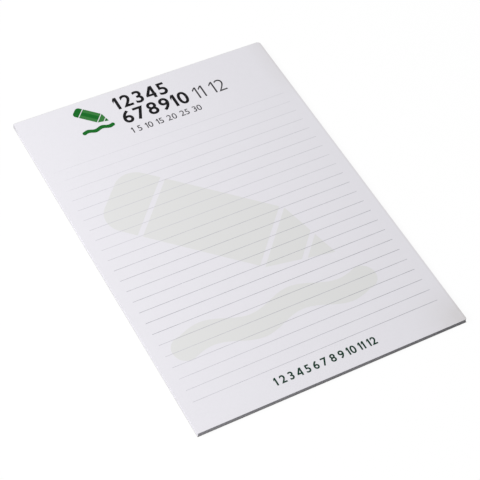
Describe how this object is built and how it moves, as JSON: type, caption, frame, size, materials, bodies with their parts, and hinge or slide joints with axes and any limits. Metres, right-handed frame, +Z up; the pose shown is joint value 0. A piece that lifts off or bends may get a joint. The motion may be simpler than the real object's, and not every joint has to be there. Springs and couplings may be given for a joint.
{
  "type": "legal pad",
  "caption": "Thin rectangular A5 writing pad of ruled paper on a grey board, with its leaves glued along the head edge.",
  "frame": {"origin": "centre of the whole pad's underside, the glue film at the head included", "axes": "+Z up out of the writing face, +Y up the sheet towards the glued head, +X to the reader's right"},
  "size_m": [0.148, 0.2102, 0.0028],
  "materials": {
    "paper": "matte",
    "board": "matte",
    "glue": "satin"
  },
  "bodies": {
    "root": {"page_block": "paper", "backing_board": "board", "glue_binding": "glue"}
  },
  "joints": []
}
